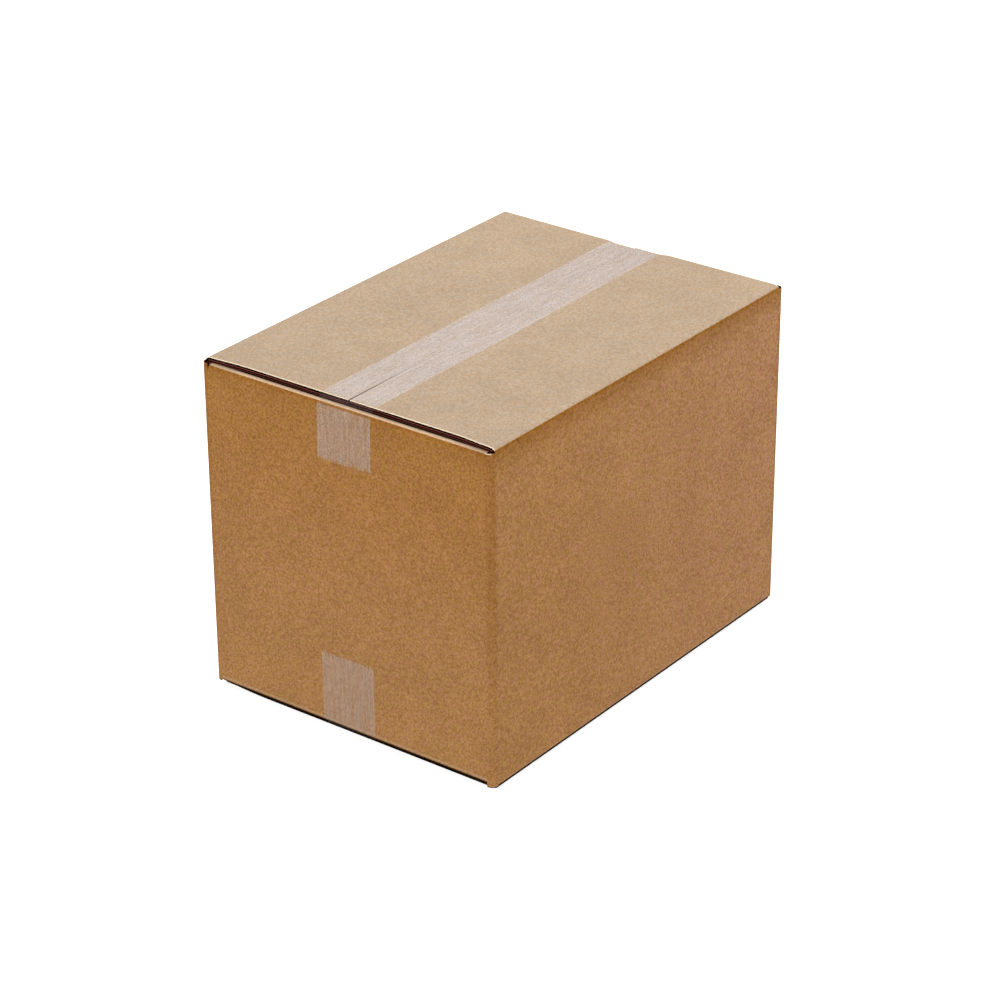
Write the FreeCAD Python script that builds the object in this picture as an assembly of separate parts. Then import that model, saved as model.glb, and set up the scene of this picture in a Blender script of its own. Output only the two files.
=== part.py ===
import FreeCAD, Part
import math
import os

# A closed cardboard box: one folded sheet of corrugated board and two strips of clear tape.
# Millimetres. The origin is under the middle of the box, X runs along its length, Z is up.

# The folded box, over its outer faces
case_length = 366.0
case_width = 262.0
case_height = 269.5

# Corrugated board: two liners with a fluted sheet between them
board_t = 4.0
liner_t = 0.45
flute_sheet_t = 0.35

# Folds
fold_outer_r = 4.6

# Flaps
seam_gap = 1.2
seam_shift = 0.0
flap_gap = 0.3
outer_flap_setback = 6.0
inner_flap_setback = 6.0
inner_flap_length = 131.0
slot_depth = 3.0

# Raw edges, where the flutes end in the open
open_edge_depth = 4.0

# Glued joint at one upright edge
glue_tab_width = 35.0
glue_tab_taper = 12.0
glue_tab_clearance = 8.0
joint_edge_setback = 1.5

# Clear tape
tape_width = 50.0
tape_t = 0.1
tooth_pitch = 2.0
tooth_depth = 1.0

# The top strip: where it lies across the box, how far each end comes down, and its slanted cut
top_tape_shift = -1.2
top_near_tail = 47.0
top_far_tail = 52.0
top_near_slant = 1.5
top_far_slant = -1.0

# The bottom strip, the same way
bottom_tape_shift = 2.4
bottom_near_tail = 64.0
bottom_far_tail = 58.0
bottom_near_slant = -2.3
bottom_far_slant = 0.8

# Levels and lines that follow from the sizes above
floor_z = tape_t
roof_z = floor_z + case_height
middle_z = (floor_z + roof_z) / 2
half_length = case_length / 2
half_width = case_width / 2
inner_flap_drop = board_t + flap_gap
side_half_run = half_length - outer_flap_setback
end_half_run = half_width - inner_flap_setback
flute_gap = (board_t - 2 * liner_t - flute_sheet_t) / 2
joint_corner_y = half_width - board_t
fold_overrun = 0.5

UP = FreeCAD.Vector(0, 0, 1)


def point(x, y, z):
    return FreeCAD.Vector(x, y, z)


def inset_corners(corners, depth, turn_axis):
    """The corners of the same path, moved by depth to the inside of its folds."""
    steps = [(b - a).normalize() for a, b in zip(corners, corners[1:])]
    sides = [turn_axis.cross(step) for step in steps]
    sides = [sides[0]] + sides + [sides[-1]]
    moved = []
    for corner, before, after in zip(corners, sides, sides[1:]):
        moved.append(corner + (before + after) * (depth / (1 + before.dot(after))))
    return moved


def rounded_edges(corners, radii):
    """Lines and arcs along a path, with each inner corner rounded by its own radius."""
    edges = []
    start = corners[0]
    for before, corner, after, radius in zip(corners, corners[1:], corners[2:], radii):
        step_in = (corner - before).normalize()
        step_out = (after - corner).normalize()
        if radius <= 0:
            edges.append(Part.makeLine(start, corner))
            start = corner
            continue
        half_turn = step_in.getAngle(step_out) / 2
        reach = radius * math.tan(half_turn)
        bend_start = corner - step_in * reach
        bend_end = corner + step_out * reach
        to_centre = (step_out - step_in).normalize()
        middle = corner + to_centre * (radius / math.cos(half_turn) - radius)
        edges.append(Part.makeLine(start, bend_start))
        edges.append(Part.Arc(bend_start, middle, bend_end).toShape())
        start = bend_end
    edges.append(Part.makeLine(start, corners[-1]))
    return edges


def folded_sheet(corners, radii, inset, thickness, run):
    """A sheet that follows a folded path, extruded along run.

    The path is the outer face of the folds. The sheet starts at inset below it.
    """
    first_step = corners[1] - corners[0]
    turn_axis = first_step.cross(corners[2] - corners[1]).normalize()
    outer = inset_corners(corners, inset, turn_axis)
    inner = inset_corners(corners, inset + thickness, turn_axis)
    outer_radii = [radius - inset for radius in radii]
    inner_radii = [radius - inset - thickness for radius in radii]
    edges = rounded_edges(outer, outer_radii)
    edges.append(Part.makeLine(outer[-1], inner[-1]))
    edges += rounded_edges(inner[::-1], inner_radii[::-1])
    edges.append(Part.makeLine(inner[0], outer[0]))
    return Part.Face(Part.Wire(edges)).extrude(run)


def board(corners, run):
    """Board of full thickness along a folded path."""
    return folded_sheet(corners, [fold_outer_r] * (len(corners) - 2), 0, board_t, run)


def flute_channels(corners, run):
    """The hollow on each side of the fluted sheet, along a folded path."""
    radii = [fold_outer_r] * (len(corners) - 2)
    upper = folded_sheet(corners, radii, liner_t, flute_gap, run)
    lower_inset = liner_t + flute_gap + flute_sheet_t
    lower = folded_sheet(corners, radii, lower_inset, flute_gap, run)
    return [upper, lower]


def open_cut_edges(sheet, flap_path, run_start, run_end):
    """Open the flutes of one flap along both of its side edges."""
    run = (run_end - run_start).normalize() * open_edge_depth
    channels = flute_channels([corner + run_start for corner in flap_path], run)
    channels += flute_channels([corner + run_end - run for corner in flap_path], run)
    return sheet.cut(channels)


def side_sheet(side):
    """A long panel with its top and bottom outer flaps; side is -1 or +1 along Y."""
    seam_y = seam_shift + side * seam_gap / 2
    face_y = side * half_width
    path = [
        point(0, seam_y, floor_z),
        point(0, face_y, floor_z),
        point(0, face_y, roof_z),
        point(0, seam_y, roof_z),
    ]
    run_start = point(-side_half_run, 0, 0)
    run_end = point(side_half_run, 0, 0)
    sheet = board([corner + run_start for corner in path], run_end - run_start)
    fold_end = fold_outer_r + fold_overrun
    for flap_end, flap_corner, inward in ((path[0], path[1], 1), (path[3], path[2], -1)):
        flap_path = [flap_end, flap_corner, flap_corner + UP * inward * fold_end]
        sheet = open_cut_edges(sheet, flap_path, run_start, run_end)
    return sheet


def end_sheet(end, low_y, high_y):
    """A short panel with its two inner flaps; end is -1 or +1 along X."""
    face_x = end * half_length
    tip_x = end * (half_length - inner_flap_length)
    low_z = floor_z + inner_flap_drop
    high_z = roof_z - inner_flap_drop
    path = [
        point(tip_x, 0, low_z),
        point(face_x, 0, low_z),
        point(face_x, 0, high_z),
        point(tip_x, 0, high_z),
    ]
    run_start = point(0, low_y, 0)
    run_end = point(0, high_y, 0)
    sheet = board([corner + run_start for corner in path], run_end - run_start)
    fold_end = fold_outer_r + fold_overrun
    for flap_end, flap_corner, inward in ((path[0], path[1], 1), (path[3], path[2], -1)):
        flap_path = [flap_end, flap_corner, flap_corner + UP * inward * fold_end]
        sheet = open_cut_edges(sheet, flap_path, run_start, run_end)
    return sheet


def upright_fold(end, side):
    """The folded corner between a long and a short panel, up to the slots between the flaps."""
    low = floor_z + slot_depth
    path = [
        point(end * side_half_run, side * half_width, low),
        point(end * half_length, side * half_width, low),
        point(end * half_length, side * end_half_run, low),
    ]
    return board(path, UP * (case_height - 2 * slot_depth))


def glue_tab():
    """The tab that runs on from the far end panel and is glued inside the far side panel."""
    low = floor_z + slot_depth
    tab_x = half_length - glue_tab_width
    path = [
        point(half_length, joint_corner_y - inner_flap_setback, low),
        point(half_length, joint_corner_y, low),
        point(tab_x, joint_corner_y, low),
    ]
    tab = board(path, UP * (case_height - 2 * slot_depth))
    cut_y = joint_corner_y - 2 * board_t
    past_x = tab_x - board_t
    taper = glue_tab_taper * (side_half_run - past_x) / (side_half_run - tab_x)
    corners = [
        point(side_half_run, cut_y, roof_z),
        point(side_half_run, cut_y, roof_z - glue_tab_clearance),
        point(past_x, cut_y, roof_z - glue_tab_clearance - taper),
        point(past_x, cut_y, roof_z),
    ]
    top_wedge = Part.Face(Part.makePolygon(corners + corners[:1])).extrude(point(0, 3 * board_t, 0))
    bottom_wedge = top_wedge.mirror(point(0, 0, middle_z), UP)
    return tab.cut([top_wedge, bottom_wedge])


def joint_lap():
    """The last strip of the far side panel, which laps over the tab and ends in a raw edge."""
    edge_x = half_length - joint_edge_setback
    low = floor_z + slot_depth
    height = case_height - 2 * slot_depth
    lap = Part.makeBox(edge_x - side_half_run, board_t, height, point(side_half_run, joint_corner_y, low))
    for inset in (liner_t, liner_t + flute_gap + flute_sheet_t):
        corner = point(edge_x - open_edge_depth, joint_corner_y + inset, low)
        lap = lap.cut(Part.makeBox(open_edge_depth, flute_gap, height, corner))
    return lap


def carton():
    """The whole folded sheet: four panels, eight flaps and the glued joint."""
    pieces = [side_sheet(-1), side_sheet(1)]
    pieces.append(end_sheet(-1, -end_half_run, end_half_run))
    pieces.append(end_sheet(1, -end_half_run, joint_corner_y - inner_flap_setback))
    pieces += [upright_fold(-1, -1), upright_fold(-1, 1), upright_fold(1, -1)]
    pieces += [glue_tab(), joint_lap()]
    return pieces[0].fuse(pieces[1:]).removeSplitter()


def bridge_angle():
    """Angle from the upright of the film that spans from the end fold to the outer flap's edge."""
    across = outer_flap_setback - fold_outer_r
    down = inner_flap_drop + fold_outer_r
    return math.asin(fold_outer_r / math.hypot(across, down)) + math.atan2(across, down)


def toothed_waste(end, centre_y, tip_z, slant, spare):
    """What a toothed cutter takes off the tail of a strip; slant is the extra length at +Y."""
    count = round(tape_width / tooth_pitch)
    step = tape_width / (2 * count)
    start_y = centre_y - tape_width / 2
    waste_z = tip_z - spare - tooth_depth
    x = end * (half_length - tape_t)
    corners = [point(x, start_y, waste_z)]
    for index in range(2 * count + 1):
        across = index * step
        tooth = tooth_depth if index % 2 else 0
        level = tip_z + slant * (0.5 - across / tape_width) + tooth
        corners.append(point(x, start_y + across, level))
    corners.append(point(x, start_y + tape_width, waste_z))
    face = Part.Face(Part.makePolygon(corners + corners[:1]))
    return face.extrude(point(end * 3 * tape_t, 0, 0))


def tape_strip(centre_y, near_tail, far_tail, near_slant, far_slant):
    """A strip of tape over the top seam, with a tail on each end panel."""
    angle = bridge_angle()
    bend_z = roof_z - outer_flap_setback / math.tan(angle)
    spare = max(abs(near_slant), abs(far_slant)) + tooth_depth
    start_y = centre_y - tape_width / 2
    path = [
        point(-half_length, start_y, roof_z - near_tail - spare),
        point(-half_length, start_y, bend_z),
        point(-side_half_run, start_y, roof_z),
        point(side_half_run, start_y, roof_z),
        point(half_length, start_y, bend_z),
        point(half_length, start_y, roof_z - far_tail - spare),
    ]
    radii = [fold_outer_r, 0, 0, fold_outer_r]
    strip = folded_sheet(path, radii, -tape_t, tape_t, point(0, tape_width, 0))
    near_waste = toothed_waste(-1, centre_y, roof_z - near_tail, near_slant, spare)
    far_waste = toothed_waste(1, centre_y, roof_z - far_tail, far_slant, spare)
    return strip.cut([near_waste, far_waste])


def top_tape():
    return tape_strip(top_tape_shift, top_near_tail, top_far_tail, top_near_slant, top_far_slant)


def bottom_tape():
    strip = tape_strip(
        bottom_tape_shift, bottom_near_tail, bottom_far_tail, bottom_near_slant, bottom_far_slant
    )
    return strip.mirror(point(0, 0, middle_z), UP)


def export(name, shape):
    box = shape.BoundBox
    print(
        f"{name}: solids {len(shape.Solids)}, valid {shape.isValid()}, volume {shape.Volume:.1f},"
        f" x {box.XMin:.2f}..{box.XMax:.2f}, y {box.YMin:.2f}..{box.YMax:.2f},"
        f" z {box.ZMin:.2f}..{box.ZMax:.2f}"
    )
    shape.exportStep(f"parts/{name}.step")


os.makedirs("parts", exist_ok=True)
export("carton", carton())
export("top_tape", top_tape())
export("bottom_tape", bottom_tape())
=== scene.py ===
# %% [markdown]
# # A closed cardboard box
#
# The real object is one sheet of corrugated board, folded into a box, and two strips of clear tape.
# The CAD frame gives the outer size and where each strip lies. This lesson dresses that frame:
# the board gets its two liners and the wavy sheet between them, and the tape becomes a thin film.
# Everything is in metres, and the frame is never moved.

# %% Load the frame
import math

import bmesh
import bpy
from mathutils import Matrix, Vector, noise


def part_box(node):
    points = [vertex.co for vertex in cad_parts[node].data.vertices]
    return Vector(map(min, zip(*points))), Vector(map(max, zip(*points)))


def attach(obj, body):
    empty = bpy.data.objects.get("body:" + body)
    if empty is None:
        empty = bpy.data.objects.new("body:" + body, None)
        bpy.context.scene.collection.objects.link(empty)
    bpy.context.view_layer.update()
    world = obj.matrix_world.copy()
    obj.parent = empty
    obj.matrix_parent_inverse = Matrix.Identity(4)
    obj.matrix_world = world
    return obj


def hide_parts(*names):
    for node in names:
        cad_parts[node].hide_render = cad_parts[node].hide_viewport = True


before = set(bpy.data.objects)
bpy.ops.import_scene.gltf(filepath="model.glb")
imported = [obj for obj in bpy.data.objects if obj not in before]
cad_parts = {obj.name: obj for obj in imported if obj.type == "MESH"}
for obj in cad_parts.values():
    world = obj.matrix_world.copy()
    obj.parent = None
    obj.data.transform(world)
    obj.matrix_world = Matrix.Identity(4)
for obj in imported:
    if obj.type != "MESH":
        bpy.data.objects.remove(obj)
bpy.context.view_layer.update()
carton_low, carton_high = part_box("carton")
print("pieces in the frame:", sorted(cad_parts))

# %% [markdown]
# ## The camera
#
# The box is seen from above one of its upright corners, through a long lens. The camera is placed
# by two angles and a distance, as a photographer would walk around the box, and then turned a
# fraction of a degree. A long lens keeps the upright edges almost parallel.

# %% Camera
camera_azimuth = math.radians(-52.89)
camera_elevation = math.radians(26.463)
camera_roll = math.radians(-0.289)
camera_distance = 2.5072
camera_right_offset = -0.0010
camera_up_offset = 0.1084
camera_lens = 116.71
sensor_width = 36.0


def direction(azimuth, elevation):
    """The way from the box to a camera or lamp; azimuth 0 is at the front, on the -Y side."""
    flat = math.cos(elevation)
    return Vector((math.sin(azimuth) * flat, -math.cos(azimuth) * flat, math.sin(elevation)))


def add_object(name, data):
    thing = bpy.data.objects.new(name, data)
    bpy.context.scene.collection.objects.link(thing)
    return thing


def add_camera():
    """A camera placed by angles and a distance, which looks along its own axis."""
    back = direction(camera_azimuth, camera_elevation)
    level = Vector((math.cos(camera_azimuth), math.sin(camera_azimuth), 0))
    upright = back.cross(level)
    right = level * math.cos(camera_roll) + upright * math.sin(camera_roll)
    up = upright * math.cos(camera_roll) - level * math.sin(camera_roll)
    place = right * camera_right_offset + up * camera_up_offset + back * camera_distance
    data = bpy.data.cameras.new("camera")
    data.lens = camera_lens
    data.sensor_width = sensor_width
    data.clip_end = 50
    camera = add_object("camera", data)
    turn = Matrix((right, up, back)).transposed()
    camera.matrix_world = Matrix.Translation(place) @ turn.to_4x4()
    bpy.context.scene.camera = camera
    return camera


camera = add_camera()
print("camera at", [round(value, 3) for value in camera.matrix_world.translation])

# %% [markdown]
# ## Sizes of the board
#
# The outer size comes from the frame. What a box maker would set by hand is named here: the
# thickness of the board and of its sheets, the radius of a fold, and where the slots are cut.

# %% Sizes
mm = 0.001
half_length = carton_high.x
half_width = carton_high.y
floor_z = carton_low.z
roof_z = carton_high.z
middle_z = (floor_z + roof_z) / 2
half_height = (roof_z - floor_z) / 2

board_t = 4.0 * mm
liner_t = 0.45 * mm
flute_sheet_t = 0.35 * mm
flute_pitch = 7.613 * mm
fold_r = 4.6 * mm
flap_setback = 6.0 * mm
inner_drop = 4.3 * mm
inner_flap_length = 131 * mm
slot_depth = 3.0 * mm
slit_width = 0.15 * mm
lap_setback = 1.5 * mm
tab_width = 35 * mm
tab_clearance = 8 * mm

quarter_fold = fold_r * math.pi / 2
joint_y = half_width - board_t
print("box, mm:", [round(2 * value / mm, 1) for value in (half_length, half_width, half_height)])

# %% [markdown]
# ## A path with rounded corners
#
# Board and tape both follow a path with soft corners. A path is kept as straight legs and bends,
# so that any distance along it gives a point, and a depth moves that point to the inside. This is
# how a flat sheet is wrapped around the box without measuring each point by hand.

# %% Rounded path
def rounded_path(corners, radii):
    """Legs of a path in a plane that turns left at each inner corner: straight, bend, straight."""
    legs = []
    start = corners[0]
    for before, corner, after, radius in zip(corners, corners[1:], corners[2:], radii):
        step_in = (corner - before).normalized()
        step_out = (after - corner).normalized()
        turn = step_in.angle(step_out)
        reach = radius * math.tan(turn / 2)
        left = Vector((-step_in.y, step_in.x))
        bend_start = corner - step_in * reach
        centre = bend_start + left * radius
        length = (bend_start - start).length
        legs.append({"length": length, "start": start, "step": step_in, "left": left})
        legs.append({"length": radius * turn, "centre": centre, "left": left, "radius": radius})
        start = corner + step_out * reach
    step = (corners[-1] - start).normalized()
    left = Vector((-step.y, step.x))
    legs.append({"length": (corners[-1] - start).length, "start": start, "step": step, "left": left})
    return legs


def leg_starts(legs):
    """Distance along the path at which each leg starts, and the whole length last."""
    starts = [0.0]
    for leg in legs:
        starts.append(starts[-1] + leg["length"])
    return starts


def along(legs, distance, depth):
    """The point at a distance along the path, moved by depth to the inside of its bends."""
    for leg in legs[:-1]:
        if distance <= leg["length"]:
            break
        distance -= leg["length"]
    else:
        leg = legs[-1]
    if "radius" not in leg:
        return leg["start"] + leg["step"] * distance + leg["left"] * depth
    inward = leg["left"].copy()
    inward.rotate(Matrix.Rotation(distance / leg["radius"], 2))
    return leg["centre"] - inward * (leg["radius"] - depth)


# %% The ring of four panels
# Seen from above, it runs from the raw edge of the joint round to the glue tab.
ring_corners = [
    Vector((half_length - lap_setback, half_width)),
    Vector((-half_length, half_width)),
    Vector((-half_length, -half_width)),
    Vector((half_length, -half_width)),
    Vector((half_length, joint_y)),
    Vector((half_length - tab_width, joint_y)),
]
ring = rounded_path(ring_corners, [fold_r] * 4)
ring_marks = leg_starts(ring)
upright_folds = (1, 3, 5, 7)
print("flat length of the ring, mm:", round(ring_marks[-1] / mm, 1))

# %% [markdown]
# ## The blank: where there is board and where there is a slot
#
# A box starts as a flat blank. Along it run four panels and the glue tab, and each panel carries
# two flaps. The blank is described in its own flat measure: s runs round the box, t runs up
# from the middle of the wall. The same measure later becomes the UV map, so the flutes in the
# material run the same way on every panel, as they do in real board.

# %% Panels and flaps
flap_margin = flap_setback - fold_r
outer_straight = half_height - fold_r
inner_straight = half_height - inner_drop - fold_r
slot_limit = half_height - slot_depth
tab_limit = slot_limit - tab_clearance
seam_gap = 1.2 * mm
outer_flap_run = half_width - seam_gap / 2 - fold_r
inner_flap_run = inner_flap_length - fold_r
outer_limit = outer_straight + quarter_fold + outer_flap_run
inner_limit = inner_straight + quarter_fold + inner_flap_run

panels = []
for index, inner in ((0, False), (2, True), (4, False), (6, True)):
    low = ring_marks[index] + (flap_setback - lap_setback if index == 0 else flap_margin)
    panels.append({
        "low": low,
        "high": ring_marks[index + 1] - flap_margin,
        "drop": inner_drop if inner else 0.0,
        "crease": inner_straight if inner else outer_straight,
        "limit": inner_limit if inner else outer_limit,
        "inner": inner,
    })


def panel_at(s, spare=0.0):
    """The panel whose flaps cover this place along the ring, or None between two flaps."""
    for panel in panels:
        if panel["low"] - spare <= s <= panel["high"] + spare:
            return panel
    return None


print("panels:", [(round(panel["low"] / mm), round(panel["high"] / mm)) for panel in panels])

# %% Corner posts and outline
# How far each corner post stops short at its foot: left, near, right and back corner
foot_cuts = [cut * mm for cut in (5.4, 3.2, 3.4, 1.2)]


def post_foot(s):
    """The lowest place of board on the corner post at this place along the ring."""
    for panel, following, cut in zip(panels, panels[1:], foot_cuts):
        if panel["high"] < s < following["low"]:
            return cut - half_height
    return foot_cuts[3] - half_height


def is_board(s, t):
    """Whether the blank has board here, away from its slots."""
    panel = panel_at(s)
    if panel:
        return abs(t) < panel["limit"]
    panel = panel_at(s, slit_width)
    if panel:
        return abs(t) < panel["crease"]
    if s > ring_marks[-2]:
        return abs(t) < tab_limit
    return post_foot(s) < t < slot_limit


print("the near corner post, mm:", round((slot_limit - post_foot(ring_marks[3])) / mm, 1))

# %% [markdown]
# ## Folding
#
# Each point of the flat blank is carried to its place: round the ring first, then over the crease
# into the flap. The seam between the outer flaps isn't quite straight on a real box, and
# the board gives a little under the tape. Both are small moves of the same points, so every layer
# of the board, and the tape on it, follows the same shape and stays in its place.

# %% Seam line
seam_near_y = -0.7 * mm
seam_far_y = 1.1 * mm
gap_near = 1.5 * mm
gap_far = 0.25 * mm
gap_closes_over = 95 * mm


def smooth(value, low, high):
    """0 below low, 1 above high, and a soft step between them."""
    part = min(max((value - low) / (high - low), 0.0), 1.0)
    return part * part * (3 - 2 * part)


def seam_y(x):
    return seam_near_y + (seam_far_y - seam_near_y) * (x + half_length) / (2 * half_length)


def seam_half_gap(x):
    closed = smooth(x, -half_length, -half_length + gap_closes_over)
    return (gap_near + (gap_far - gap_near) * closed) / 2


print("seam gap, mm:", [round(2 * seam_half_gap(x) / mm, 2) for x in (-half_length, half_length)])

# %% The give of the board
wall_bow = 0.7 * mm
roof_bow = 0.5 * mm
bow_unevenness = 0.5
bow_waves = (2.1, 2.3, 1.9)
wall_power = 5
roof_power = 8
far_flap_drop = 0.7 * mm
far_flap_from = -0.2
crushed_drop = 1.3 * mm
crushed_from = half_length - 34 * mm
tape_low, tape_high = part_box("top_tape")
tape_half_width = (tape_high.y - tape_low.y) / 2
tape_centre = (tape_high.y + tape_low.y) / 2


def settle(point, flap_side):
    """A small inward give: walls and roof bow in, and the far edge is pressed down under the tape.
    The powers keep the bow of a wall off the roof, and that of the roof off the walls."""
    x = point.x / half_length
    y = point.y / half_width
    z = (point.z - middle_z) / half_height
    across_x = max(1 - x * x, 0.0)
    across_y = max(1 - y * y, 0.0)
    across_z = max(1 - z * z, 0.0)
    waves = Vector((bow_waves[0] * x, bow_waves[1] * y, bow_waves[2] * z))
    uneven = 1 + bow_unevenness * noise.noise(waves)
    moved = point.copy()
    moved.x -= math.copysign(wall_bow * across_y * across_z * abs(x) ** wall_power * uneven, x)
    moved.y -= math.copysign(wall_bow * across_x * across_z * abs(y) ** wall_power * uneven, y)
    drop = roof_bow * across_x * across_y * uneven
    if z > 0:
        side_weight = (1 + flap_side) / 2
        drop += far_flap_drop * smooth(x, far_flap_from, 1.0) * across_y * side_weight
        beside = abs(point.y - tape_centre)
        taped = 1 - smooth(beside, tape_half_width - 6 * mm, tape_half_width + 5 * mm)
        drop += crushed_drop * taped * smooth(point.x, crushed_from, half_length) ** 2
    moved.z -= math.copysign(drop * abs(z) ** roof_power, z)
    return moved


print("the middle of the roof, mm:", round(settle(Vector((0, 0, roof_z)), 0).z / mm, 2))

# %% Raw edges that stray
edge_out = 1.2 * mm
edge_in = 1.3 * mm
edge_fades_over = 25 * mm
edge_starts_over = 2 * mm
top_edge_turns = (4 * mm, 40 * mm)
low_edge_in = 1.8 * mm
low_edge_fades = (5 * mm, 45 * mm)
on_edge = 1e-6


def stray(s, t):
    """How far the near raw edge of an outer flap strays along the ring. On top it goes out at its
    fold and in beyond it, and the left bottom flap is cut back at its fold."""
    panel = panel_at(s, on_edge)
    if panel is None or panel["inner"] or abs(t) <= panel["crease"]:
        return 0.0
    over = abs(t) - panel["crease"]
    starts_near = panel is panels[2]
    from_edge = s - panel["low"] if starts_near else panel["high"] - s
    started = smooth(over, 0, edge_starts_over)
    if t > 0:
        reach = (edge_in + edge_out) * smooth(over, *top_edge_turns) - edge_out * started
    elif starts_near:
        reach = 0.0
    else:
        reach = low_edge_in * started * (1 - smooth(over, *low_edge_fades))
    reach *= 1 - smooth(from_edge, 0, edge_fades_over)
    return reach if starts_near else -reach


print("a top edge strays by, mm:", round(stray(panels[2]["low"], outer_limit) / mm, 2))

# %% Fold one point of the blank
def fold(s, t, depth):
    """Where a point of the flat blank lies on the folded box, with depth below the outer face."""
    panel = panel_at(s, on_edge)
    over = abs(t) - panel["crease"] if panel else -1.0
    drop = panel["drop"] if panel else 0.0
    if over <= 0:
        inset = depth
        height = abs(t)
    elif over < quarter_fold:
        angle = over / fold_r
        inset = fold_r - (fold_r - depth) * math.cos(angle)
        height = half_height - drop - fold_r + (fold_r - depth) * math.sin(angle)
    else:
        inset = fold_r + over - quarter_fold
        height = half_height - drop - depth
    s += stray(s, t)
    flat = along(ring, s, 0.0)
    flap_side = 0.0
    if over > 0 and not panel["inner"]:
        flap_side = math.copysign(1.0, flat.y)
        if over > quarter_fold:
            half_gap = seam_half_gap(flat.x) if t > 0 else gap_far / 2
            reach = half_width - flap_side * seam_y(flat.x) - half_gap - fold_r
            inset = fold_r + (over - quarter_fold) * reach / outer_flap_run
    elif over > 0:
        flap_side = 2 * smooth(flat.y, -8 * mm, 8 * mm) - 1
    place = along(ring, s, inset)
    point = Vector((place.x, place.y, middle_z + math.copysign(height, t)))
    return settle(point, flap_side)


folded = fold(ring_marks[4] + 0.1, 0, 0)
print("a place on the near side panel, mm:", [round(value / mm, 1) for value in folded])

# %% [markdown]
# ## The two liners
#
# The smooth paper on each face of the board is a liner. Each is modelled as the box is made: a
# flat grid is cut to the outline of the blank, gets the thickness of paper, and is then folded.
# The grid has close lines at the folds and raw edges, where the shape turns, and wide ones on
# the panels. Beside the tape its lines are close too, so that board and film take the same shape.

# %% Grid lines
fold_steps = 8
panel_step = 9 * mm
least_step = 0.05 * mm
rim_steps = (0.4 * mm, 0.9 * mm, 1.4 * mm)
from_tape_middle = range(16, 33, 2)


def filled(lines, step):
    """Sorted lines with more of them put in, so that no two are further apart than step."""
    lines = sorted(lines)
    result = [lines[0]]
    for line in lines[1:]:
        gap = line - result[-1]
        if gap < least_step:
            continue
        count = math.ceil(gap / step)
        result += [result[-1] + gap * (index + 1) / count for index in range(count)]
    return result


def ring_lines(step):
    lines = [ring_marks[0], ring_marks[0] + rim_steps[0], ring_marks[-1]]
    for index in upright_folds:
        bend = ring_marks[index + 1] - ring_marks[index]
        lines += [ring_marks[index] + bend * part / fold_steps for part in range(fold_steps + 1)]
    for panel in panels:
        for inset in (-slit_width, 0, *rim_steps):
            lines += [panel["low"] + inset, panel["high"] - inset]
    return filled(lines, step)


def height_lines(step):
    lines = [0.0, slot_limit, tab_limit, outer_limit, inner_limit]
    for cut in (slot_depth, *foot_cuts):
        lines += [half_height - cut - inset for inset in (0, *rim_steps[:2])]
    lines += [outer_limit - inset for inset in rim_steps]
    lines += [outer_limit - inset * mm for inset in from_tape_middle]
    for crease in (outer_straight, inner_straight):
        lines += [crease + quarter_fold * part / fold_steps for part in range(fold_steps + 1)]
    upper = filled(lines, step)
    return [-line for line in upper[:0:-1]] + upper


print("grid lines:", len(ring_lines(panel_step)), "by", len(height_lines(panel_step)))

# %% Cut and thicken a sheet
def flat_grid(s_lines, t_lines):
    """A flat grid whose lines lie at the given places."""
    bm = bmesh.new()
    columns = len(s_lines) - 1
    rows = len(t_lines) - 1
    bmesh.ops.create_grid(bm, x_segments=columns, y_segments=rows, size=0.5)
    for vert in bm.verts:
        s = s_lines[round((vert.co.x + 0.5) * columns)]
        t = t_lines[round((vert.co.y + 0.5) * rows)]
        vert.co = Vector((s, t, 0))
    return bm


def cut_to_blank(bm):
    """Take out the cells of the grid that lie in a slot or past a flap's edge."""
    waste = [face for face in bm.faces if not is_board(*face.calc_center_median().xy)]
    bmesh.ops.delete(bm, geom=waste, context="FACES")
    print("cells cut away:", len(waste))


def thicken(bm, thickness):
    """Give a flat sheet its thickness downwards, and keep its flat measure as a UV map."""
    flat_map = bm.loops.layers.uv.new("blank")
    bmesh.ops.solidify(bm, geom=bm.faces[:], thickness=thickness)
    for face in bm.faces:
        for loop in face.loops:
            loop[flat_map].uv = loop.vert.co.xy


# %% [markdown]
# ## Where the paper is cut, turned and creased
#
# A cut edge of kraft paper is pale. Painted shade darkens the folds and the wall just below the
# roof's edges, with some darkening of crushed fibres, and a painted shadow covers what has turned
# under the box. All of this depends on the place on the blank. So it is measured there once for
# each point, and kept in layers of the mesh that the material reads, which is sharper than a mask
# painted on the folded box.

# %% Turned and cut paper
outer_under_rate = 1.5
inner_under_rate = 0.62
under_starts_before = 1.0 * mm
inner_turns_later = 0.25
rim_width = 1.3 * mm
near_post_strength = 0.8


def over_crease(s, t):
    """How far a point has gone over its crease, as a share of the fold: 0 on the wall."""
    panel = panel_at(s, on_edge)
    return max((abs(t) - panel["crease"]) / quarter_fold, 0.0) if panel else 0.0


def roof_value(s, t):
    """How far a panel has turned up to face the lamps, where the roof's painted sheen takes over;
    an end panel does so later in its fold.
    """
    panel = panel_at(s, on_edge)
    later = inner_turns_later if panel and panel["inner"] else 0.0
    return over_crease(s, t) - later if t > 0 else 0.0


def crest_value(s, t):
    """How far an inner flap has turned, beyond 1 where it slips under the outer flaps."""
    panel = panel_at(s, on_edge)
    return over_crease(s, t) if t > 0 and panel and panel["inner"] else 0.0


def under_value(s, t):
    """How far a panel has turned under the box, into its own shadow; a post's foot gets half."""
    panel = panel_at(s, on_edge)
    if t >= 0:
        return 0.0
    if panel is None:
        return 0.5 * (1 - smooth(t - post_foot(s), 0.2 * mm, 0.9 * mm))
    share = (-t - panel["crease"] + under_starts_before) / quarter_fold
    return max(share, 0.0) * (inner_under_rate if panel["inner"] else outer_under_rate)


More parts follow.
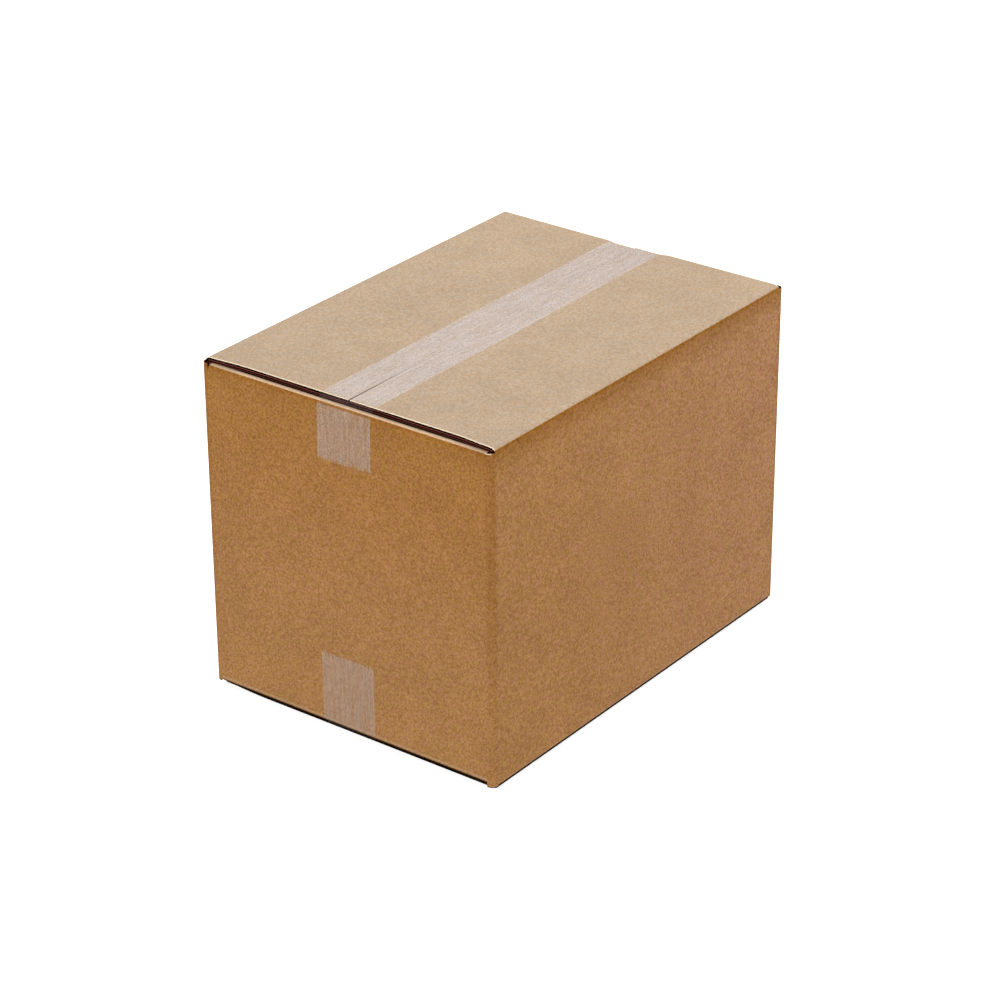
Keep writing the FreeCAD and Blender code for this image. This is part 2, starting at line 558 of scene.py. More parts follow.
def rim_value(s, t):
    """1 at a raw edge on top that shows cut paper, 0 away from it."""
    panel = panel_at(s, on_edge)
    if t <= 0:
        return 0.0
    if panel and t > panel["crease"]:
        inset = min(s - panel["low"], panel["high"] - s)
        turned = smooth(over_crease(s, t), 0.3, 0.6)
        return 0.0 if panel["inner"] else turned * (1 - smooth(inset, 0, rim_width))
    if panel is None and s < ring_marks[-2]:
        lap_edge = 1 - smooth(s, 0, rim_width)
        near_corner = (ring_marks[3] + ring_marks[4]) / 2
        near_post = 1 - smooth(slot_limit - t, 0, rim_width)
        near_post *= 1 - smooth(s - near_corner, -0.5 * mm, 1.5 * mm)
        near_post_only = smooth(s, ring_marks[3] - 12 * mm, ring_marks[3] - 8 * mm)
        return max(lap_edge, near_post_strength * near_post * near_post_only)
    return 0.0


# %% Painted shade at creases, and tints
side_edge = outer_straight + 0.46 * quarter_fold
end_edge = inner_straight + 0.70 * quarter_fold


def dark_below(below, line_width, line_strength, band_width, band_strength):
    """A painted dark line and a wider band of painted shade below an edge of the roof, and nothing
    above it.
    """
    if below < 0:
        return 0.0
    line = line_strength * (1 - smooth(below, 0.5 * mm, line_width))
    return line + band_strength * (1 - smooth(below, 2 * mm, band_width))


def crease_shade_value(s, t):
    """How much painted shade darkens the paper at a fold: upright folds near their top, with some
    darkening of crushed fibres, and below the edges of the roof. The folds at the left and the right
    corner also have a narrow painted dark line of their own, where they turn from the light."""
    panel = panel_at(s, on_edge)
    if panel and not panel["inner"]:
        value = dark_below(side_edge - t, 4 * mm, 0.45, 24 * mm, 0.52)
    else:
        value = dark_below(end_edge - t, 5 * mm, 0.5, 20 * mm, 0.2)
    for index in upright_folds:
        middle = (ring_marks[index] + ring_marks[index + 1]) / 2
        strength = 0.6 * (0.3 + 0.7 * smooth(t, -half_height, half_height))
        value = max(value, strength * (1 - smooth(abs(s - middle), 0.6 * mm, 6.5 * mm)))
        if index in (1, 5):
            aside = abs(s - middle + 0.7 * mm)
            value = max(value, 0.9 * (1 - smooth(aside, 0.6 * mm, 2.6 * mm)))
    return value


def top_warmth_value(s, t):
    """How much an end panel is warmed and darkened: most at its top, and less and less down to below
    its middle.
    """
    panel = panel_at(s, flap_margin)
    if panel is None or not panel["inner"]:
        return 0.0
    return 1 - smooth(half_height - t, 5 * mm, 185 * mm)


def cool_value(s, t):
    """How much bluer a side panel is towards the far end of the box."""
    panel = panel_at(s, flap_margin)
    if panel is None or panel["inner"]:
        return 0.0
    return smooth(along(ring, s, 0.0).x, -0.9 * half_length, half_length)


surface_layers = {
    "rim": rim_value, "crease": crease_shade_value, "roof": roof_value, "crest": crest_value,
    "under": under_value, "tan": top_warmth_value, "cool": cool_value}
print("layers of a liner:", list(surface_layers))

# %% Finish a piece
sharp_from = math.radians(35)


def to_mesh(bm, name):
    """A mesh of what the bmesh holds, which is then let go."""
    mesh = bpy.data.meshes.new(name)
    bm.to_mesh(mesh)
    bm.free()
    return mesh


def finish_piece(bm, name, materials, node):
    """Turn a bmesh into a smooth piece that rides on the frame and stands for its CAD node."""
    bmesh.ops.recalc_face_normals(bm, faces=bm.faces[:])
    mesh = to_mesh(bm, name)
    for material in materials:
        mesh.materials.append(material)
    for polygon in mesh.polygons:
        polygon.use_smooth = True
    mesh.set_sharp_from_angle(angle=sharp_from)
    piece = add_object(name, mesh)
    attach(piece, "root")
    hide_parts(node)
    print(name, "faces:", len(mesh.polygons))


# %% [markdown]
# ## Kraft paper
#
# Kraft liner is brown paper with long fibres. Up close it is a mix of orange, olive and pinkish
# specks, with soft clouds where the pulp was uneven. A group called kraft mottle gives that mix
# from noise at four scales, so the liners and the wavy sheet can share it with their own
# colours. The flutes press through the paper as faint upright waves, which are a bump. Such
# paper is dull, so it has no gloss: even a faint one looks grey at a low angle.

# %% Node helpers
def new_material(name):
    material = bpy.data.materials.new(name)
    material.use_nodes = True
    tree = material.node_tree
    return material, tree, tree.nodes["Principled BSDF"]


def fill_inputs(tree, node, inputs):
    """Give a node its named or numbered inputs: linked if they come from a socket, or else set."""
    for key, value in inputs.items():
        if isinstance(value, bpy.types.NodeSocket):
            tree.links.new(value, node.inputs[key])
        else:
            node.inputs[key].default_value = value


def add_node(tree, kind, inputs, **settings):
    node = tree.nodes.new(kind)
    for key, value in settings.items():
        setattr(node, key, value)
    fill_inputs(tree, node, inputs)
    return node


def object_place(tree):
    """The place of a point of the piece, in metres."""
    return tree.nodes.new("ShaderNodeTexCoord").outputs["Object"]


def layer_value(tree, name):
    """A float layer of the mesh, read into a material."""
    return add_node(tree, "ShaderNodeAttribute", {}, attribute_name=name).outputs["Fac"]


def blank_place(tree):
    """The place on the flat blank or strip, from the UV map."""
    return add_node(tree, "ShaderNodeUVMap", {}, uv_map="blank").outputs["UV"]


def parts(tree, vector):
    return add_node(tree, "ShaderNodeSeparateXYZ", {"Vector": vector}).outputs


def noise_value(tree, vector, scale, detail=3.0, roughness=0.5):
    inputs = {"Vector": vector, "Scale": scale, "Detail": detail, "Roughness": roughness}
    return add_node(tree, "ShaderNodeTexNoise", inputs).outputs["Fac"]


def ramp_value(tree, value, low, high, to_low=0.0, to_high=1.0):
    """A soft step from to_low, where value is low, to to_high, where it is high."""
    inputs = {
        "Value": value, "From Min": low, "From Max": high, "To Min": to_low, "To Max": to_high}
    ramp = add_node(tree, "ShaderNodeMapRange", inputs, interpolation_type="SMOOTHSTEP")
    return ramp.outputs["Result"]


def mix_colour(tree, factor, first, second, blend="MIX"):
    """A colour mix; the numbers are the places of the colour sockets on the mix node."""
    inputs = {0: factor, 6: first, 7: second}
    return add_node(tree, "ShaderNodeMix", inputs, data_type="RGBA", blend_type=blend).outputs[2]


def math_value(tree, operation, *values):
    inputs = dict(enumerate(values))
    return add_node(tree, "ShaderNodeMath", inputs, operation=operation).outputs[0]


def bump(tree, strength, distance, height, **normal):
    inputs = {"Strength": strength, "Distance": distance, "Height": height, **normal}
    return add_node(tree, "ShaderNodeBump", inputs).outputs["Normal"]


# %% The kraft mottle group
cloud_scale = 22.0
warm_scale = 220.0
cool_scale = 280.0
grain_scale = 600.0


def kraft_mottle_group():
    """Colour and height of kraft paper, from its three colours, its flecks and a place in space."""
    group = bpy.data.node_groups.new("kraft_mottle", "ShaderNodeTree")
    sockets = group.interface
    sockets.new_socket("Vector", in_out="INPUT", socket_type="NodeSocketVector")
    for name in ("Base", "Warm", "Cool", "Dark Fleck", "Pale Fleck"):
        sockets.new_socket(name, in_out="INPUT", socket_type="NodeSocketColor")
    sockets.new_socket("Color", in_out="OUTPUT", socket_type="NodeSocketColor")
    sockets.new_socket("Height", in_out="OUTPUT", socket_type="NodeSocketFloat")
    start = group.nodes.new("NodeGroupInput").outputs
    end = group.nodes.new("NodeGroupOutput").inputs
    clouds = noise_value(group, start["Vector"], cloud_scale)
    warm_noise = noise_value(group, start["Vector"], warm_scale, 2.0, 0.6)
    cool_noise = noise_value(group, start["Vector"], cool_scale, 2.0, 0.6)
    grain = noise_value(group, start["Vector"], grain_scale, 4.0, 0.66)
    warm = ramp_value(group, warm_noise, 0.40, 0.62)
    cool = ramp_value(group, cool_noise, 0.42, 0.64)
    colour = mix_colour(group, warm, start["Base"], start["Warm"])
    colour = mix_colour(group, cool, colour, start["Cool"])
    pale = ramp_value(group, grain, 0.25, 0.75)
    fleck = mix_colour(group, pale, start["Dark Fleck"], start["Pale Fleck"])
    colour = mix_colour(group, 1.0, colour, fleck, "MULTIPLY")
    cloud_shade = ramp_value(group, clouds, 0.3, 0.7, 0.96, 1.04)
    colour = mix_colour(group, 1.0, colour, cloud_shade, "MULTIPLY")
    group.links.new(colour, end["Color"])
    group.links.new(grain, end["Height"])
    return group


kraft_mottle = kraft_mottle_group()
print("nodes in the kraft mottle:", len(kraft_mottle.nodes))

# %% Use of the group in a material
fleck_strength = (1.0, 1.28, 1.7)


def mottled(tree, place, colours, contrast):
    """A kraft mottle in a material, with that material's three colours and strength of flecks."""
    dark_fleck = [1 - contrast * strength for strength in fleck_strength]
    pale_fleck = [1 + contrast * strength for strength in fleck_strength]
    inputs = {
        "Vector": place, "Dark Fleck": (*dark_fleck, 1), "Pale Fleck": (*pale_fleck, 1),
        **dict(zip(("Base", "Warm", "Cool"), colours))}
    node = add_node(tree, "ShaderNodeGroup", {}, node_tree=kraft_mottle)
    fill_inputs(tree, node, inputs)
    return node.outputs


# %% [markdown]
# ## The outer liner's tints and painted light
#
# The roof is painted paler and greyer than the walls: a painted sheen of the light that grazes it.
# An end panel is warmer and darker towards its top, and a side panel turns a little bluer towards
# the far end. Each tint multiplies the paper's own colour, so that its specks still show, and a
# layer of the mesh drives it, so it stays on its panel.

# %% Outer kraft liner
wall_colours = ((0.440, 0.220, 0.086, 1), (0.456, 0.216, 0.104, 1), (0.436, 0.232, 0.077, 1))
# Painted sheen: the roof's paper is paler and greyer, as light grazing it looks.
roof_sheen_colours = ((0.453, 0.339, 0.233, 1), (0.473, 0.339, 0.226, 1), (0.443, 0.344, 0.251, 1))
wall_contrast = 0.30
roof_contrast = 0.17
# Painted shade at folds and below the roof's edges, with some darkening of crushed fibres.
crease_shade_tint = (0.64, 0.50, 0.16, 1)
# Makes an end panel warmer and darker towards its top.
top_warmth_tint = (0.91, 0.86, 0.66, 1)
cool_tint = (1.0, 1.04, 1.26, 1)
# Painted light: the walls are lighter near the floor, to even out the lamps' fall-off.
low_painted_light_tint = (1.07, 1.08, 1.06, 1)
low_painted_light_ends = 0.13
# Painted highlight where an end panel's fold turns up to the light, with some whitening of cracked
# fibres.
crest_whitening_and_highlight = (1.42, 1.36, 1.30, 1)
rim_colour = (0.90, 0.76, 0.56, 1)
# Painted glint: a pale line on the bottom fold, just above its painted shadow.
glint_strength = 0.19
shadow_colour = (0.012, 0.006, 0.004, 1)
wave_bump = (0.35, 0.00012)
grain_bump = (0.25, 0.00008)


def wall_colour(tree, place, paper):
    """The paper of the walls with its tints: warmer and darker towards the top of an end panel,
    bluer, lighter near the floor as painted light, and darkened at creases by painted shade.
    """
    tints = (
        (layer_value(tree, "tan"), top_warmth_tint),
        (layer_value(tree, "cool"), cool_tint),
        (ramp_value(tree, parts(tree, place)["Z"], 0.0, low_painted_light_ends, 1.0, 0.0), low_painted_light_tint),
        (layer_value(tree, "crease"), crease_shade_tint))
    colour = paper
    for factor, tint in tints:
        colour = mix_colour(tree, factor, colour, tint, "MULTIPLY")
    return colour


def liner_colour(tree, walls, top):
    """Walls and the roof's painted sheen together, with pale cut edges, painted highlights on the
    crest and the bottom fold, and painted shadow on what turns away from light or slips under the
    outer flaps.
    """
    roof, crest, under, rim = [
        layer_value(tree, name) for name in ("roof", "crest", "under", "rim")]
    # Painted sheen: paper that has turned up to the roof takes the paler, greyer roof colour.
    colour = mix_colour(tree, ramp_value(tree, roof, 0.38, 0.52), walls, top)
    # The crest of an end panel's fold is lifted: a painted highlight, and some whitening of cracked
    # fibres.
    colour = mix_colour(tree, ramp_value(tree, crest, 0.63, 0.77), colour, crest_whitening_and_highlight, "MULTIPLY")
    # A painted glint: a pale line where the bottom fold still catches light, just above its painted
    # shadow.
    glint_starts = ramp_value(tree, under, 0.01, 0.08)
    glint_ends = ramp_value(tree, under, 0.12, 0.22, glint_strength, 0.0)
    glint = math_value(tree, "MULTIPLY", glint_starts, glint_ends)
    pale = math_value(tree, "MAXIMUM", ramp_value(tree, rim, 0.2, 0.9), glint)
    colour = mix_colour(tree, pale, colour, rim_colour)
    # Painted shadow: near black where a fold turns under the box, and where an inner flap slips
    # under the outer flaps.
    turned_under = ramp_value(tree, under, 0.16, 0.34)
    slipped_under = ramp_value(tree, crest, 1.10, 1.24)
    shaded = math_value(tree, "MAXIMUM", turned_under, slipped_under)
    return mix_colour(tree, shaded, colour, shadow_colour)


def flute_waves(tree):
    """The bump of the flutes that press through the paper, from the flat measure of the blank."""
    around = parts(tree, blank_place(tree))["X"]
    phase = math_value(tree, "MULTIPLY", around, 2 * math.pi / flute_pitch)
    return bump(tree, *wave_bump, math_value(tree, "SINE", phase))


def outer_liner_material():
    material, tree, shader = new_material("kraft_outer")
    place = object_place(tree)
    sides = mottled(tree, place, wall_colours, wall_contrast)
    top = mottled(tree, place, roof_sheen_colours, roof_contrast)
    walls = wall_colour(tree, place, sides["Color"])
    fill_inputs(tree, shader, {
        "Base Color": liner_colour(tree, walls, top["Color"]),
        "Roughness": ramp_value(tree, sides["Height"], 0.3, 0.7, 0.72, 0.9),
        "Specular IOR Level": 0.0,
        "Normal": bump(tree, *grain_bump, sides["Height"], Normal=flute_waves(tree))})
    return material


kraft_outer = outer_liner_material()
print("nodes in the outer kraft:", len(kraft_outer.node_tree.nodes))

# %% Inner paper and the wavy sheet
# Painted shade: the paper between the liners is near black, as it looks in the shade there.
inner_shade_colours = ((0.02, 0.009, 0.006, 1), (0.025, 0.01, 0.006, 1), (0.02, 0.01, 0.008, 1))
flute_shade_colours = ((0.014, 0.006, 0.004, 1), (0.018, 0.007, 0.004, 1), (0.014, 0.007, 0.005, 1))
flute_cut_colour = (0.26, 0.07, 0.05, 1)
inner_contrast = 0.3


def inner_paper_material(name, colours, cut_strength):
    """Paper between the liners, painted near black as it looks in their shade; where it is cut it
    shows a redder line, as the cut sheet looks in that shade.
    """
    material, tree, shader = new_material(name)
    paper = mottled(tree, object_place(tree), colours, inner_contrast)
    cut = ramp_value(tree, layer_value(tree, "rim"), 0.2, 0.9, 0.0, cut_strength)
    fill_inputs(tree, shader, {
        "Base Color": mix_colour(tree, cut, paper["Color"], flute_cut_colour),
        "Roughness": 0.9,
        "Specular IOR Level": 0.0,
        "Normal": bump(tree, *grain_bump, paper["Height"])})
    return material


kraft_inner = inner_paper_material("kraft_inner", inner_shade_colours, 0.3)
flute_paper = inner_paper_material("flute_paper", flute_shade_colours, 1.0)
print("papers:", [material.name for material in (kraft_outer, kraft_inner, flute_paper)])

# %% Fold the two liners
def liner(name, depth, step, materials):
    """A liner of the whole blank; its hidden face takes the last of its materials."""
    bm = flat_grid(ring_lines(step), height_lines(step))
    cut_to_blank(bm)
    thicken(bm, liner_t)
    layers = {}
    for layer_name, measure in surface_layers.items():
        layers[bm.verts.layers.float.new(layer_name)] = measure
    hidden_level = -0.9 * liner_t
    for face in bm.faces:
        if all(vert.co.z < hidden_level for vert in face.verts):
            face.material_index = len(materials) - 1
    for vert in bm.verts:
        s, t = vert.co.xy
        for layer, measure in layers.items():
            vert[layer] = measure(s, t)
        vert.co = fold(s, t, depth - vert.co.z)
    finish_piece(bm, name, materials, "carton")


liner("outer_liner", 0.0, panel_step, [kraft_outer, kraft_inner])
liner("inner_liner", board_t - liner_t, 2 * panel_step, [kraft_inner])

# %% [markdown]
# ## The wavy sheet between the liners
#
# Where the board is cut, its fluted sheet shows. Along a cut beside the flutes it is one thin
# line that wanders up and down, and across the flutes it is a row of waves. Only a strip
# behind each raw edge can be seen, so strips are folded with the same blank as the liners.

# %% One flute strip
flute_amplitude = (board_t - 2 * liner_t - flute_sheet_t) / 2
flute_line_step = 0.63 * mm
flute_wander = 0.7
wanders_per_metre = 14
cut_width = 0.9 * mm
# Painted shade: cut lines of the wavy sheet under the box are dimmer.
shaded_low_cut_strength = 0.3


def flute_depth(s, t, start):
    """Depth of the middle of the wavy sheet; a cut at start runs near mid-depth and wanders."""
    wander = flute_wander * noise.noise(Vector((0, wanders_per_metre * t, 3)))
    phase = 2 * math.pi * (s - start) / flute_pitch + wander
    return board_t / 2 + flute_amplitude * math.sin(phase)


def flute_strip(bm, s_low, s_high, t_low, t_high, t_step, start):
    """Add one strip of the wavy sheet to bm, between two places along the ring and up the blank."""
    s_lines = filled([s_low, s_low + cut_width, s_high - cut_width, s_high], flute_line_step)
    t_lines = filled([t_low, t_high], t_step)
    strip = flat_grid(s_lines, t_lines)
    thicken(strip, flute_sheet_t)
    cut = strip.verts.layers.float.new("rim")
    for vert in strip.verts:
        s, t = vert.co.xy
        strength = 1 if t > 0 else shaded_low_cut_strength
        vert[cut] = strength * (1 - smooth(min(s - s_low, s_high - s), 0, cut_width))
        vert.co = fold(s, t, flute_depth(s, t, start) - flute_sheet_t / 2 - vert.co.z)
    part = to_mesh(strip, "strip")
    bm.from_mesh(part)
    bpy.data.meshes.remove(part)


print("the flutes swing by, mm:", round(flute_amplitude / mm, 3))

# %% All flute strips
edge_strip = 13 * mm
cross_strip = 7 * mm
post_strip = 12 * mm
lap_strip = 4 * mm
strip_step = 4 * mm
starts_below_crease = 3 * mm
inner_flap_seen = 30 * mm


def flap_strips(bm, panel, way):
    """Strips along the two cut edges of a flap, and one at the seam; way is 1 on top."""
    reach = panel["crease"] + inner_flap_seen if panel["inner"] else panel["limit"]
    ends = sorted((way * (panel["crease"] - starts_below_crease), way * reach))
    low, high = panel["low"], panel["high"]
    flute_strip(bm, low, low + edge_strip, *ends, strip_step, low)
    flute_strip(bm, high - edge_strip, high, *ends, strip_step, low)
    if not panel["inner"]:
        seam_ends = sorted((way * (reach - cross_strip), way * reach))
        flute_strip(bm, low + edge_strip, high - edge_strip, *seam_ends, cross_strip, low)


def flutes():
    """All strips as one piece: at the flaps, at both ends of the corner posts and at the lap."""
    bm = bmesh.new()
    bm.verts.layers.float.new("rim")
    for panel in panels:
        for way in (-1, 1):
            flap_strips(bm, panel, way)
    for panel, following in zip(panels, panels[1:] + [None]):
        post_end = following["low"] - slit_width if following else ring_marks[-2]
        post = (panel["high"] + slit_width, post_end)
        foot = post_foot(sum(post) / 2)
        flute_strip(bm, *post, slot_limit - post_strip, slot_limit, strip_step, post[0])
        flute_strip(bm, *post, foot, foot + post_strip, strip_step, post[0])
    lap = (ring_marks[0], ring_marks[0] + lap_strip)
    flute_strip(bm, *lap, -slot_limit, slot_limit, panel_step, lap[0])
    finish_piece(bm, "flutes", [flute_paper], "carton")


flutes()

# %% [markdown]
# ## The tape
#
# Packing tape is a clear film of plastic, so thin that it has almost no edge. It comes up one end
# of the box, jumps from the fold to the edge of the outer flaps, runs along the seam and goes
# down the other end. Where its glue grips the paper it looks milky, and where it hangs free
# over the step it is clear. The ends are cut by the teeth of a dispenser.

# %% The path of the film
film_t = 0.05 * mm
film_lift = 0.02 * mm
film_edge_r = 0.4 * mm
base_low, base_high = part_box("bottom_tape")
base_centre = (base_low.y + base_high.y) / 2


def bridge_drop(setback):
    """How far below the roof the film meets the line of the end panel."""
    across = setback - fold_r
    down = inner_drop + fold_r
    angle = math.asin(fold_r / math.hypot(across, down)) + math.atan2(across, down)
    return setback / math.tan(angle)


def film_path(top, first_tail, last_tail):
    """The path of the film in the plane of its length, from the end of one tail to the other.
    Its nine legs are tail, fold, bridge, edge, run along the seam, edge, bridge, fold, tail."""
    level = roof_z if top else floor_z
    inward = -1 if top else 1
    first_x = half_length if top else -half_length
    near_setback = flap_setback + (edge_in if top else 0.0)
    setbacks = (flap_setback, near_setback) if top else (near_setback, flap_setback)
    corners = [
        Vector((first_x, level + inward * first_tail)),
        Vector((first_x, level + inward * bridge_drop(setbacks[0]))),
        Vector((first_x - math.copysign(setbacks[0], first_x), level)),
        Vector((math.copysign(setbacks[1], first_x) - first_x, level)),
        Vector((-first_x, level + inward * bridge_drop(setbacks[1]))),
        Vector((-first_x, level + inward * last_tail)),
    ]
    return rounded_path(corners, [fold_r, film_edge_r, film_edge_r, fold_r])


print("the film's bridge drops by, mm:", round(bridge_drop(flap_setback) / mm, 2))

# %% Where the film grips
# Each step of the film: the leg near which it leaves the paper and over which mm from the leg's
# start, and the same for where it is held again. The top film starts at the far end of the box.
top_steps = ((1, -1.6, 0, 4, 0, 0.5), (5, -1.5, 0, 8, -3.6, -2.2))
low_steps = ((1, 0.6, 1.8, 4, 0, 0.5), (5, -0.5, 0, 8, -1.8, -0.6))
loose_line_at = 5.8 * mm
loose_line_strength = 0.5


def clear_steps(a, marks, steps):
    """1 where the film bridges a step at one of its folds."""
    clear = []
    for leaves, leaving, left, meets, meeting, held in steps:
        free = smooth(a, marks[leaves] + leaving * mm, marks[leaves] + left * mm)
        clear.append(free * (1 - smooth(a, marks[meets] + meeting * mm, marks[meets] + held * mm)))
    return max(clear)


def film_grip(a, w, marks, point, top):
    """1 where the glue holds the paper, near 0 where the film bridges a step or the open seam.
    A broken line along the near tail is loose too, as a streak of trapped air."""
    if not top:
        return 1 - clear_steps(a, marks, low_steps)
    half_gap = seam_half_gap(point.x)
    open_seam = smooth(half_gap, 0.2 * mm, 0.5 * mm) if marks[4] < a < marks[5] else 0.0
    from_seam = abs(point.y - seam_y(point.x))
    open_seam *= 1 - smooth(from_seam, 0.5 * half_gap, half_gap + 0.7 * mm)
    loose_line = 0.0
    if a > marks[8]:
        from_line = abs(w - loose_line_at)
        loose_line = loose_line_strength * (1 - smooth(from_line, 0.4 * mm, 1.4 * mm))
        loose_line *= smooth(noise.noise(Vector((0, 60 * a, 1))), -0.3, 0.3)
    return 1 - max(clear_steps(a, marks, top_steps), open_seam, loose_line)


# %% Film
tooth_pitch = 2.0 * mm
tooth_depth = 1.0 * mm
film_step = 4 * mm
film_end_row = 1.2 * mm
film_fold_steps = 6
film_half_width = tape_half_width - 1.0 * mm
film_above_crush = 0.15 * mm


def on_broken_line(value, places, levels):
    """The level at a place on a line that runs straight between the given places."""
    for low, high, first, last in zip(places, places[1:], levels, levels[1:]):
        if value <= high:
            return first + (last - first) * (value - low) / (high - low)
    return levels[-1]


def film_lines(legs, marks, teeth):
    """Places of the grid lines along the film and across it; every other one across is a tooth."""
    lines = [0.0, film_end_row, marks[-1] - film_end_row, marks[-1]] + marks[1:-1]
    for index in (1, 7):
        bend = legs[index]["length"]
        lines += [marks[index] + bend * part / film_fold_steps for part in range(film_fold_steps)]
    w_lines = [film_half_width * (index / teeth - 1) for index in range(2 * teeth + 1)]
    return filled(lines, film_step), w_lines


def film(name, top, centre_y, tails, slants, drift):
    """A strip of film along the seam. A slant is how much longer a tail is at its +Y side, and
    drift is how far the strip strays sideways, in mm, at the ends of its straight legs."""
    legs = film_path(top, *tails)
    marks = leg_starts(legs)
    teeth = round(2 * film_half_width / tooth_pitch)
    bm = flat_grid(*film_lines(legs, marks, teeth))
    thicken(bm, film_t)
    grip = bm.verts.layers.float.new("grip")
    reach = bm.verts.layers.float.new("reach")
    drift_places = (0.0, marks[1], marks[4], marks[5], marks[8], marks[9])
    for vert in bm.verts:
        a, w = vert.co.xy
        vert[reach] = min(a, marks[-1] - a) / mm
        tooth = tooth_depth if round((w / film_half_width + 1) * teeth) % 2 else 0.0
        if a < 0.1 * mm:
            a += tooth + slants[0] * w / (2 * film_half_width)
        elif a > marks[-1] - 0.1 * mm:
            a -= tooth + slants[1] * w / (2 * film_half_width)
        place = along(legs, a, -film_lift - film_t - vert.co.z)
        y = centre_y - w + on_broken_line(a, drift_places, drift) * mm
        point = Vector((place.x, y, place.y))
        flap_side = 2 * smooth(point.y - seam_y(point.x), 0.0, 3 * mm) - 1
        vert[grip] = film_grip(a, w, marks, point, top)
        vert.co = settle(point, flap_side)
        if top:
            crushed = smooth(point.x, crushed_from, half_length - flap_setback)
            vert.co.z += film_above_crush * crushed
    node = "top_tape" if top else "bottom_tape"
    finish_piece(bm, name, [packing_film], node)


print("teeth across the film:", round(2 * film_half_width / tooth_pitch))

# %% Film material
film_tail_colour = (0.70, 0.565, 0.465, 1)
# Painted sheen: the film on the roof is greyer and bluer, as light reflected from it looks.
film_roof_sheen_colour = (0.735, 0.675, 0.685, 1)
film_edge_colour = (0.95, 0.87, 0.80, 1)
drawn_streaks = (30.0, 430.0, 1.0)
milky_range = (0.11, 0.29)
clear_share = 0.07
frayed_by = 2.5
frayed_over = 3.0
film_grain_scale = 600.0
film_bump = (0.3, 0.0001)


def film_alpha(tree, streaks):
    """Milky in streaks where it grips, nearly clear where it doesn't, and frayed at its ends.
    The film is seen through both its faces, so each face is kept thin."""
    milky = ramp_value(tree, streaks, 0.3, 0.7, *milky_range)
    held = ramp_value(tree, layer_value(tree, "grip"), 0.0, 1.0, clear_share, 1.0)
    ragged = ramp_value(tree, streaks, 0.35, 0.65, -frayed_by, frayed_by)
    frayed = math_value(tree, "ADD", layer_value(tree, "reach"), ragged)
    whole = ramp_value(tree, frayed, 0.0, frayed_over, 0.3, 1.0)
    return math_value(tree, "MULTIPLY", math_value(tree, "MULTIPLY", milky, held), whole)


def film_colour(tree, across):
    """Brownish on the ends of the box, greyer on the roof as a painted sheen, and paler along its
    two edges.
    """
    facing = tree.nodes.new("ShaderNodeTexCoord").outputs["Normal"]
    upward = ramp_value(tree, parts(tree, facing)["Z"], 0.5, 0.9)
    colour = mix_colour(tree, upward, film_tail_colour, film_roof_sheen_colour)
    side = math_value(tree, "ABSOLUTE", across)
    inside = film_half_width - 1.0 * mm
    edge = ramp_value(tree, side, inside, film_half_width - 0.3 * mm, 0.0, 0.5)
    colour = mix_colour(tree, edge, colour, film_edge_colour)
    grain = noise_value(tree, object_place(tree), film_grain_scale, 3.0, 0.6)
    return mix_colour(tree, 1.0, colour, ramp_value(tree, grain, 0.3, 0.7, 0.90, 1.10), "MULTIPLY")


def film_material():
    material, tree, shader = new_material("packing_film")
    place = blank_place(tree)
    drawn = add_node(tree, "ShaderNodeMapping", {"Vector": place, "Scale": drawn_streaks})
    streaks = noise_value(tree, drawn.outputs["Vector"], 1.0, 3.0, 0.65)
    fill_inputs(tree, shader, {
        "Base Color": film_colour(tree, parts(tree, place)["Y"]),
        "Roughness": 0.35,
        "Alpha": film_alpha(tree, streaks),
        "Normal": bump(tree, *film_bump, streaks)})
    return material


packing_film = film_material()
print("nodes in the film:", len(packing_film.node_tree.nodes))

# %% Lay the two strips
film("top_film", True, tape_centre, tails=(52 * mm, 49 * mm), slants=(-1.0 * mm, 1.5 * mm),
     drift=(2.3, 2.3, 2.3, 1.5, 0.2, 0.9))
film("bottom_film", False, base_centre, tails=(65.2 * mm, 58 * mm), slants=(-1.1 * mm, 0.8 * mm),
     drift=(-0.5, -1.4, -1.4, 0, 0, 0))

# %% [markdown]
# ## Floor, backdrop and light
#
# A plain studio: a pale floor that the camera sees as white, with a soft shadow where the box
# touches it, and three soft lamps. The lamp behind is neutral, and the two at the sides are a
# little warm. The floor that lights the box from below is dimmer than the one that is seen, and
# the one that is seen glows more further out, where less light falls on it.

# %% Floor
floor_size = 14.0
floor_colour = (0.9, 0.9, 0.9, 1)
dim_floor_colour = (0.27, 0.26, 0.25, 1)
glow_near = 0.6
glow_far = 1.0
glow_grows = (0.8, 2.5)


def join_shaders(tree, output, dim, bright):
    """The bright shader for rays that show the floor or backdrop itself, to the camera, in a
    gloss or through glass, and the dim one for rays that only carry its light."""
    path = tree.nodes.new("ShaderNodeLightPath").outputs
    seen = math_value(tree, "MAXIMUM", path["Is Camera Ray"], path["Is Glossy Ray"])
    seen = math_value(tree, "MAXIMUM", seen, path["Is Transmission Ray"])
    inputs = {0: seen, 1: dim.outputs[0], 2: bright.outputs[0]}
    mix = add_node(tree, "ShaderNodeMixShader", inputs)
    tree.links.new(mix.outputs[0], tree.nodes[output].inputs["Surface"])


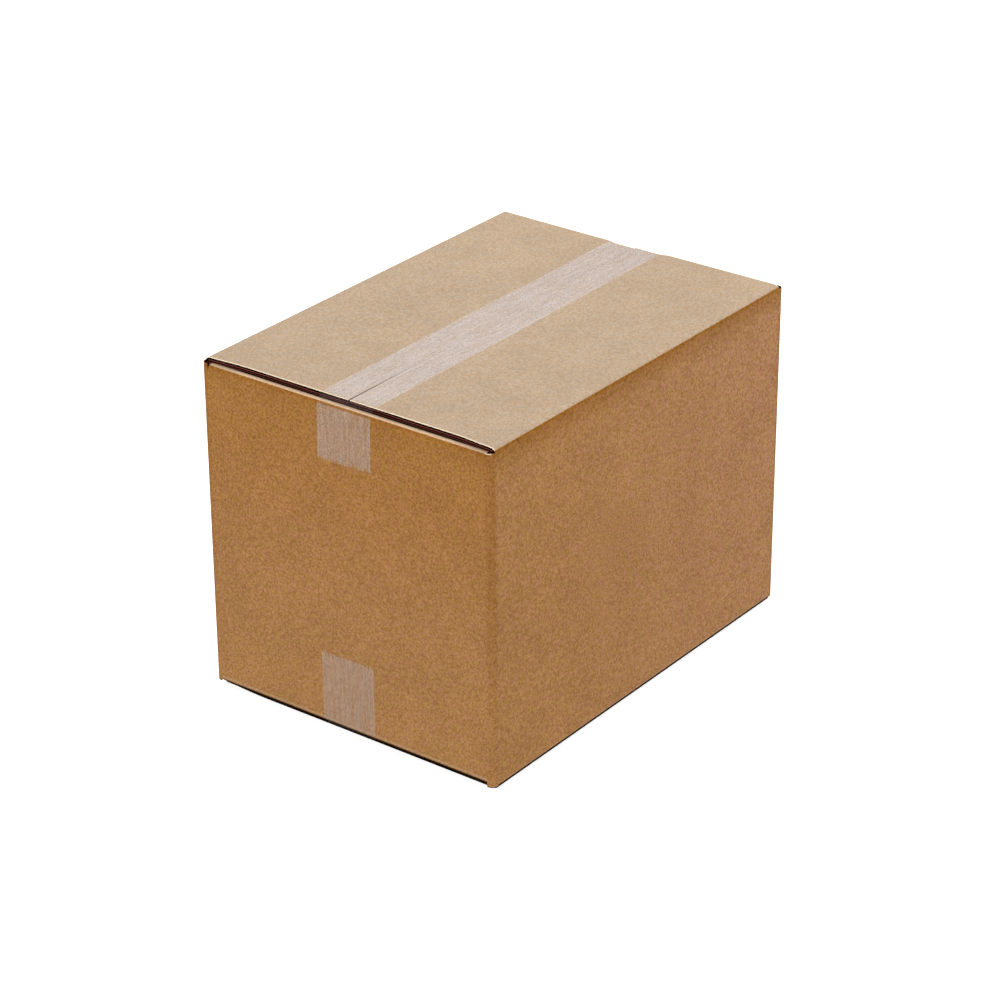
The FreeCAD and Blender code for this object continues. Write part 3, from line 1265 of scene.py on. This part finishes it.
def floor_material():
    material, tree, shader = new_material("pale_floor")
    reach = add_node(tree, "ShaderNodeVectorMath", {0: object_place(tree)}, operation="LENGTH")
    fill_inputs(tree, shader, {
        "Base Color": floor_colour,
        "Roughness": 0.9,
        "Specular IOR Level": 0.0,
        "Emission Color": ramp_value(
            tree, reach.outputs["Value"], *glow_grows, glow_near, glow_far),
        "Emission Strength": 1.0})
    dim = add_node(tree, "ShaderNodeBsdfDiffuse", {"Color": dim_floor_colour})
    join_shaders(tree, "Material Output", dim, shader)
    return material


def add_floor():
    bm = bmesh.new()
    bmesh.ops.create_grid(bm, x_segments=1, y_segments=1, size=floor_size / 2)
    mesh = to_mesh(bm, "floor")
    mesh.materials.append(floor_material())
    floor = add_object("floor", mesh)
    print("floor, m:", [round(value, 1) for value in floor.dimensions.xy])


add_floor()

# %% Lamps
def soft_lamp(name, azimuth, elevation, distance, size, watts, colour):
    """A square soft lamp that faces the middle of the box."""
    data = bpy.data.lights.new(name, "AREA")
    data.shape = "SQUARE"
    data.size = size
    data.energy = watts
    data.color = colour
    lamp = add_object(name, data)
    away = direction(math.radians(azimuth), math.radians(elevation))
    lamp.location = Vector((0, 0, middle_z)) + away * distance
    lamp.rotation_euler = away.to_track_quat("Z", "Y").to_euler()
    print(name, "at", [round(value, 2) for value in lamp.location])


neutral = (1.0, 1.0, 1.0)
warm = (1.0, 0.98, 0.96)
soft_lamp("lamp_behind", 127, 50, distance=2.0, size=0.8, watts=24.0, colour=neutral)
soft_lamp("lamp_left", -94, 27, distance=2.2, size=1.1, watts=30.2, colour=warm)
soft_lamp("lamp_right", 10, 27, distance=2.2, size=1.1, watts=29.6, colour=warm)

# %% Backdrop
room_colour = (0.30, 0.30, 0.30, 1)


def set_backdrop():
    world = bpy.data.worlds.new("backdrop")
    bpy.context.scene.world = world
    world.use_nodes = True
    tree = world.node_tree
    room = tree.nodes["Background"]
    fill_inputs(tree, room, {"Color": room_colour})
    white = add_node(tree, "ShaderNodeBackground", {"Color": (1, 1, 1, 1), "Strength": 1.0})
    join_shaders(tree, "World Output", room, white)
    print("nodes in the backdrop:", len(tree.nodes))


set_backdrop()
bpy.context.scene.view_settings.view_transform = "Standard"
